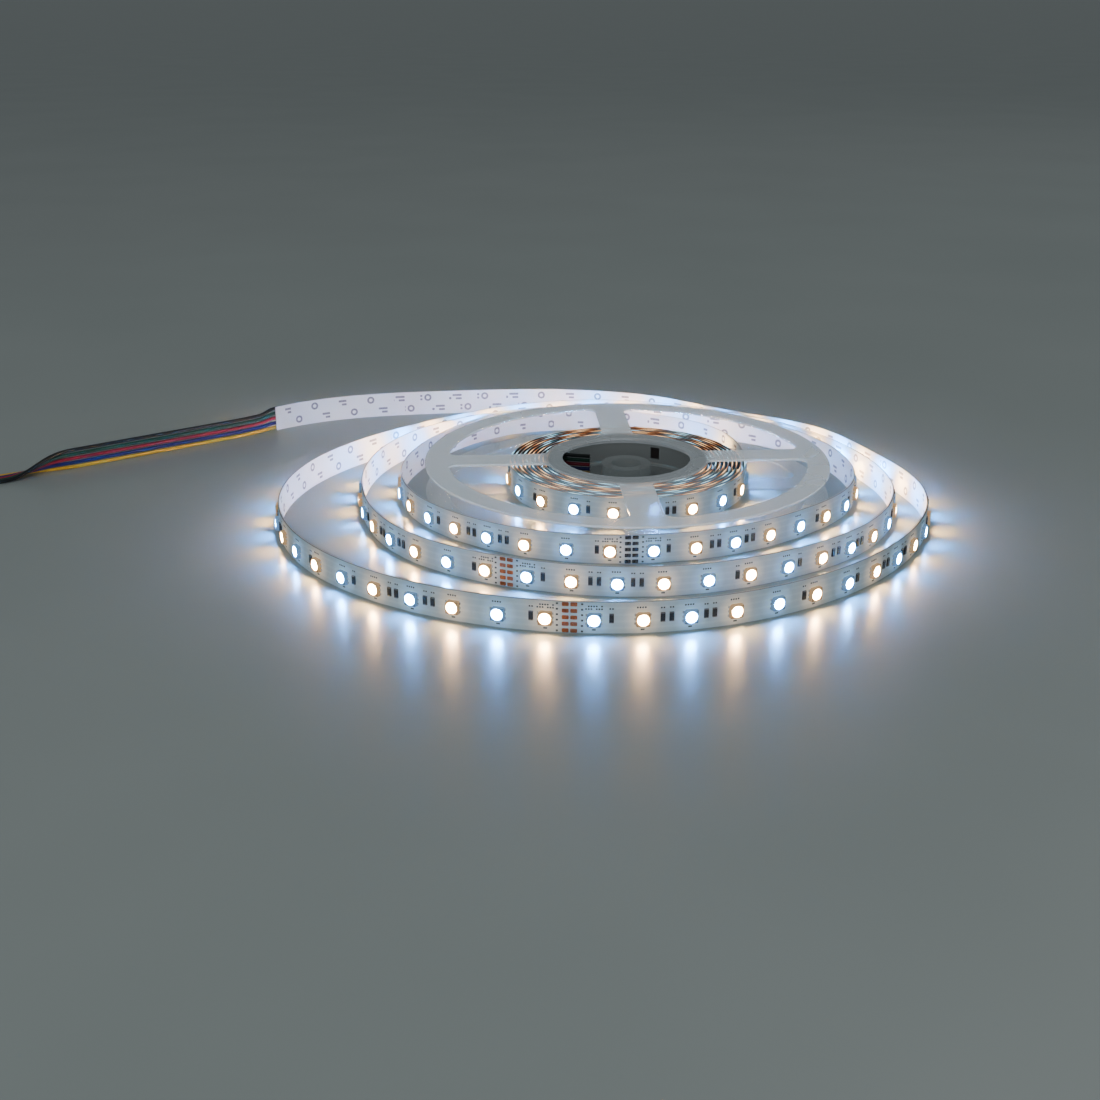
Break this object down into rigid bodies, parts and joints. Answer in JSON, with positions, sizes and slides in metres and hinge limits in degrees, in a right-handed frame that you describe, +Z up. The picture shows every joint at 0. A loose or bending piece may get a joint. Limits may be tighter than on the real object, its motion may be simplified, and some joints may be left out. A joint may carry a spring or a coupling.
{
  "type": "led strip light reel",
  "caption": "Flexible strip of small lit packages on a clear two-flange reel, with loose turns standing around it and five bare-ended leads.",
  "frame": {"origin": "under the middle of the bounding box of the reel and strip, without the outer leads, on the surface they stand on", "axes": "+Z up along the reel's axis, +X to the right along the longest extent, +Y to the back"},
  "size_m": [0.4153, 0.2818, 0.0144],
  "materials": {
    "reel_plastic": "clear moulded plastic with a faint grey tint",
    "tape_face": "satin white solder mask on thin flexible tape",
    "liner_paper": "coated white paper with grey marks",
    "wound_tape": "edges of wound tape, copper and white",
    "wire_yellow": "wire insulation",
    "wire_blue": "wire insulation",
    "wire_red": "wire insulation",
    "wire_green": "wire insulation",
    "wire_black": "wire insulation",
    "tinned_copper": "tinned copper strands and solder",
    "led_housing": "white moulded light package",
    "led_lens_warm": "lit lens, warm white",
    "led_lens_cool": "lit lens, cool white",
    "resistor_black": "black chip resistor",
    "copper_pad": "bare copper pad",
    "mark_grey": "printed mark"
  },
  "bodies": {
    "root": {"reel_lower_flange": "reel_plastic", "reel_hub": "reel_plastic", "reel_upper_flange": "reel_plastic", "wound_strip": "wound_tape", "strip_section_1": "tape_face", "strip_section_2": "tape_face", "strip_section_3": "tape_face", "strip_section_4": "tape_face", "strip_section_5": "tape_face", "strip_section_6": "tape_face", "release_liner": "liner_paper", "inner_lead_yellow": "wire_yellow", "lead_wire_yellow": "wire_yellow", "tinned_end_yellow": "tinned_copper", "inner_lead_blue": "wire_blue", "lead_wire_blue": "wire_blue", "tinned_end_blue": "tinned_copper", "inner_lead_red": "wire_red", "lead_wire_red": "wire_red", "tinned_end_red": "tinned_copper", "inner_lead_green": "wire_green", "lead_wire_green": "wire_green", "tinned_end_green": "tinned_copper", "inner_lead_black": "wire_black", "lead_wire_black": "wire_black", "tinned_end_black": "tinned_copper"}
  },
  "joints": []
}
